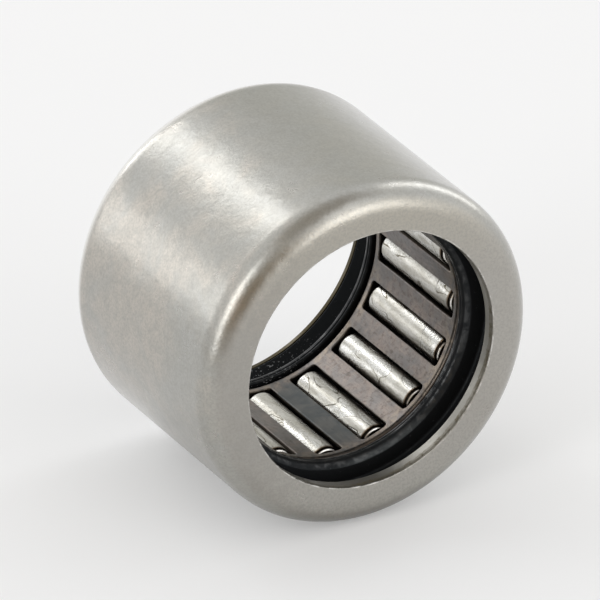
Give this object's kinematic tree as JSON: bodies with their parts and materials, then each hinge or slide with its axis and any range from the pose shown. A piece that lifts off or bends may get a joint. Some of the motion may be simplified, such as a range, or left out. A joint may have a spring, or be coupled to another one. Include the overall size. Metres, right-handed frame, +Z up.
{
  "type": "needle roller bearing",
  "caption": "Thin drawn steel cup bearing with caged needles that run straight on the shaft, open at both ends, with a black rubber lip seal in each end.",
  "frame": {"origin": "centre of the bearing, on its axis and halfway along its width", "axes": "+Y along the axis towards the rear, curled end; the flat front end faces -Y; +Z up with the bearing lying on its round side"},
  "size_m": [0.021, 0.016, 0.021],
  "materials": {
    "cup_steel": "satin, barrel polished",
    "seal_rubber": "smooth, slightly oily",
    "cage_steel": "dark hardened, oiled",
    "needle_steel": "ground and polished, oiled"
  },
  "bodies": {
    "cup": {"outer_cup": "cup_steel", "front_seal": "seal_rubber", "rear_seal": "seal_rubber"},
    "cage": {"roller_cage": "cage_steel"},
    "needle_01": {"needle_roller_01": "needle_steel"},
    "needle_02": {"needle_roller_02": "needle_steel"},
    "needle_03": {"needle_roller_03": "needle_steel"},
    "needle_04": {"needle_roller_04": "needle_steel"},
    "needle_05": {"needle_roller_05": "needle_steel"},
    "needle_06": {"needle_roller_06": "needle_steel"},
    "needle_07": {"needle_roller_07": "needle_steel"},
    "needle_08": {"needle_roller_08": "needle_steel"},
    "needle_09": {"needle_roller_09": "needle_steel"},
    "needle_10": {"needle_roller_10": "needle_steel"},
    "needle_11": {"needle_roller_11": "needle_steel"},
    "needle_12": {"needle_roller_12": "needle_steel"},
    "needle_13": {"needle_roller_13": "needle_steel"},
    "needle_14": {"needle_roller_14": "needle_steel"},
    "needle_15": {"needle_roller_15": "needle_steel"},
    "needle_16": {"needle_roller_16": "needle_steel"}
  },
  "joints": [
    {"name": "cage_spin", "type": "hinge", "parent": "cup", "child": "cage", "pos_m": [0, 0, 0], "axis": [0, 1, 0], "continuous": true},
    {"name": "needle_01_spin", "type": "hinge", "parent": "cage", "child": "needle_01", "pos_m": [0.00048, 0, 0.0085], "axis": [0, 1, 0], "continuous": true},
    {"name": "needle_02_spin", "type": "hinge", "parent": "cage", "child": "needle_02", "pos_m": [0.00369, 0, 0.00767], "axis": [0, 1, 0], "continuous": true},
    {"name": "needle_03_spin", "type": "hinge", "parent": "cage", "child": "needle_03", "pos_m": [0.00635, 0, 0.00568], "axis": [0, 1, 0], "continuous": true},
    {"name": "needle_04_spin", "type": "hinge", "parent": "cage", "child": "needle_04", "pos_m": [0.00804, 0, 0.00281], "axis": [0, 1, 0], "continuous": true},
    {"name": "needle_05_spin", "type": "hinge", "parent": "cage", "child": "needle_05", "pos_m": [0.0085, 0, -0.00048], "axis": [0, 1, 0], "continuous": true},
    {"name": "needle_06_spin", "type": "hinge", "parent": "cage", "child": "needle_06", "pos_m": [0.00767, 0, -0.00369], "axis": [0, 1, 0], "continuous": true},
    {"name": "needle_07_spin", "type": "hinge", "parent": "cage", "child": "needle_07", "pos_m": [0.00568, 0, -0.00635], "axis": [0, 1, 0], "continuous": true},
    {"name": "needle_08_spin", "type": "hinge", "parent": "cage", "child": "needle_08", "pos_m": [0.00281, 0, -0.00804], "axis": [0, 1, 0], "continuous": true},
    {"name": "needle_09_spin", "type": "hinge", "parent": "cage", "child": "needle_09", "pos_m": [-0.00048, 0, -0.0085], "axis": [0, 1, 0], "continuous": true},
    {"name": "needle_10_spin", "type": "hinge", "parent": "cage", "child": "needle_10", "pos_m": [-0.00369, 0, -0.00767], "axis": [0, 1, 0], "continuous": true},
    {"name": "needle_11_spin", "type": "hinge", "parent": "cage", "child": "needle_11", "pos_m": [-0.00635, 0, -0.00568], "axis": [0, 1, 0], "continuous": true},
    {"name": "needle_12_spin", "type": "hinge", "parent": "cage", "child": "needle_12", "pos_m": [-0.00804, 0, -0.00281], "axis": [0, 1, 0], "continuous": true},
    {"name": "needle_13_spin", "type": "hinge", "parent": "cage", "child": "needle_13", "pos_m": [-0.0085, 0, 0.00048], "axis": [0, 1, 0], "continuous": true},
    {"name": "needle_14_spin", "type": "hinge", "parent": "cage", "child": "needle_14", "pos_m": [-0.00767, 0, 0.00369], "axis": [0, 1, 0], "continuous": true},
    {"name": "needle_15_spin", "type": "hinge", "parent": "cage", "child": "needle_15", "pos_m": [-0.00568, 0, 0.00635], "axis": [0, 1, 0], "continuous": true},
    {"name": "needle_16_spin", "type": "hinge", "parent": "cage", "child": "needle_16", "pos_m": [-0.00281, 0, 0.00804], "axis": [0, 1, 0], "continuous": true}
  ],
  "couplings": [
    {"joint": "needle_01_spin", "follows": "cage_spin", "ratio": -9.53},
    {"joint": "needle_02_spin", "follows": "cage_spin", "ratio": -9.53},
    {"joint": "needle_03_spin", "follows": "cage_spin", "ratio": -9.53},
    {"joint": "needle_04_spin", "follows": "cage_spin", "ratio": -9.53},
    {"joint": "needle_05_spin", "follows": "cage_spin", "ratio": -9.53},
    {"joint": "needle_06_spin", "follows": "cage_spin", "ratio": -9.53},
    {"joint": "needle_07_spin", "follows": "cage_spin", "ratio": -9.53},
    {"joint": "needle_08_spin", "follows": "cage_spin", "ratio": -9.53},
    {"joint": "needle_09_spin", "follows": "cage_spin", "ratio": -9.53},
    {"joint": "needle_10_spin", "follows": "cage_spin", "ratio": -9.53},
    {"joint": "needle_11_spin", "follows": "cage_spin", "ratio": -9.53},
    {"joint": "needle_12_spin", "follows": "cage_spin", "ratio": -9.53},
    {"joint": "needle_13_spin", "follows": "cage_spin", "ratio": -9.53},
    {"joint": "needle_14_spin", "follows": "cage_spin", "ratio": -9.53},
    {"joint": "needle_15_spin", "follows": "cage_spin", "ratio": -9.53},
    {"joint": "needle_16_spin", "follows": "cage_spin", "ratio": -9.53}
  ]
}
